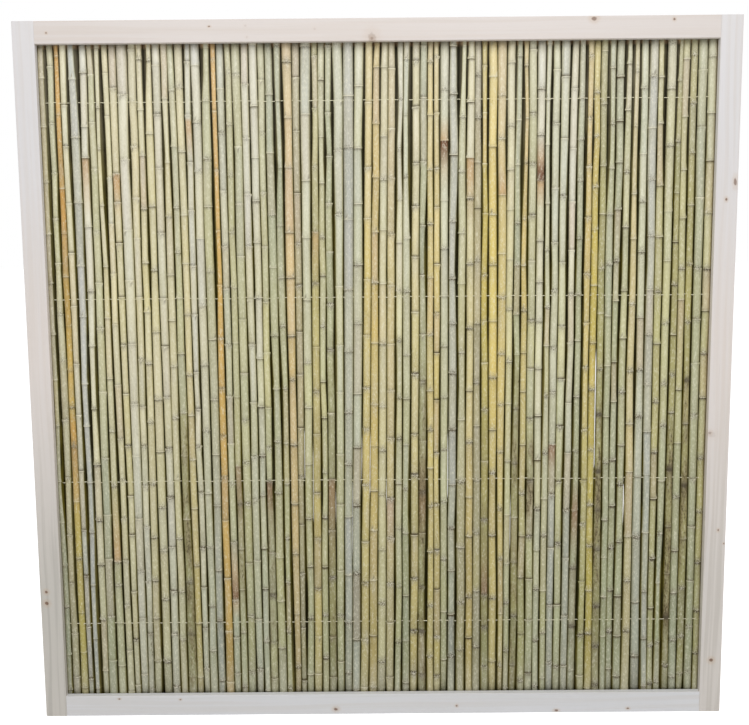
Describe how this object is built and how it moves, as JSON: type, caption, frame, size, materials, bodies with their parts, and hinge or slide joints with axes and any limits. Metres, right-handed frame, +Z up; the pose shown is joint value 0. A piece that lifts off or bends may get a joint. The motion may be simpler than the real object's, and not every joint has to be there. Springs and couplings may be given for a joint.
{
  "type": "bamboo fence panel",
  "caption": "Square fence panel of upright bamboo canes, side by side on wires, in a sandwich frame of planed softwood battens.",
  "frame": {"origin": "under the panel's middle: halfway along, in the plane through the canes, at the height of the lower edge", "axes": "+Z up along the canes, +X along the panel to the right as seen from the front, the front faces -Y"},
  "size_m": [1.8, 0.065, 1.8],
  "materials": {
    "spruce": "planed softwood, slightly greyed, with a few knots",
    "bamboo_straw": "dry straw-coloured bamboo skin, satin",
    "bamboo_green": "dry pale green bamboo skin, satin",
    "bamboo_grey": "weathered grey bamboo skin, satin",
    "bamboo_amber": "amber to orange bamboo skin, satin",
    "wire": "galvanised, dull",
    "screw": "zinc plated"
  },
  "bodies": {
    "root": {"bottom_spacer": "spruce", "canes_01": "bamboo_grey", "canes_02": "bamboo_amber", "canes_03": "bamboo_grey", "canes_04": "bamboo_green", "canes_05": "bamboo_straw", "canes_06": "bamboo_grey", "canes_07": "bamboo_green", "canes_08": "bamboo_straw", "canes_09": "bamboo_green", "canes_10": "bamboo_straw", "canes_11": "bamboo_amber", "canes_12": "bamboo_grey", "canes_13": "bamboo_green", "canes_14": "bamboo_straw", "canes_15": "bamboo_green", "canes_16": "bamboo_straw", "canes_17": "bamboo_green", "canes_18": "bamboo_green", "canes_19": "bamboo_grey", "canes_20": "bamboo_amber", "canes_21": "bamboo_amber", "canes_22": "bamboo_straw", "canes_23": "bamboo_grey", "canes_24": "bamboo_green", "canes_25": "bamboo_straw", "canes_26": "bamboo_grey", "canes_27": "bamboo_green", "canes_28": "bamboo_amber", "canes_29": "bamboo_amber", "canes_30": "bamboo_amber", "canes_31": "bamboo_grey", "canes_32": "bamboo_green", "canes_33": "bamboo_green", "canes_34": "bamboo_amber", "canes_35": "bamboo_amber", "canes_36": "bamboo_grey", "canes_37": "bamboo_amber", "canes_38": "bamboo_grey", "canes_39": "bamboo_green", "canes_40": "bamboo_green", "canes_41": "bamboo_green", "frame_screws": "screw", "front_bottom_rail": "spruce", "front_left_stile": "spruce", "front_right_stile": "spruce", "front_top_rail": "spruce", "highest_wire": "wire", "left_spacer": "spruce", "lower_wire": "wire", "lowest_wire": "wire", "rear_bottom_rail": "spruce", "rear_left_stile": "spruce", "rear_right_stile": "spruce", "rear_top_rail": "spruce", "right_spacer": "spruce", "top_spacer": "spruce", "upper_wire": "wire"}
  },
  "joints": []
}
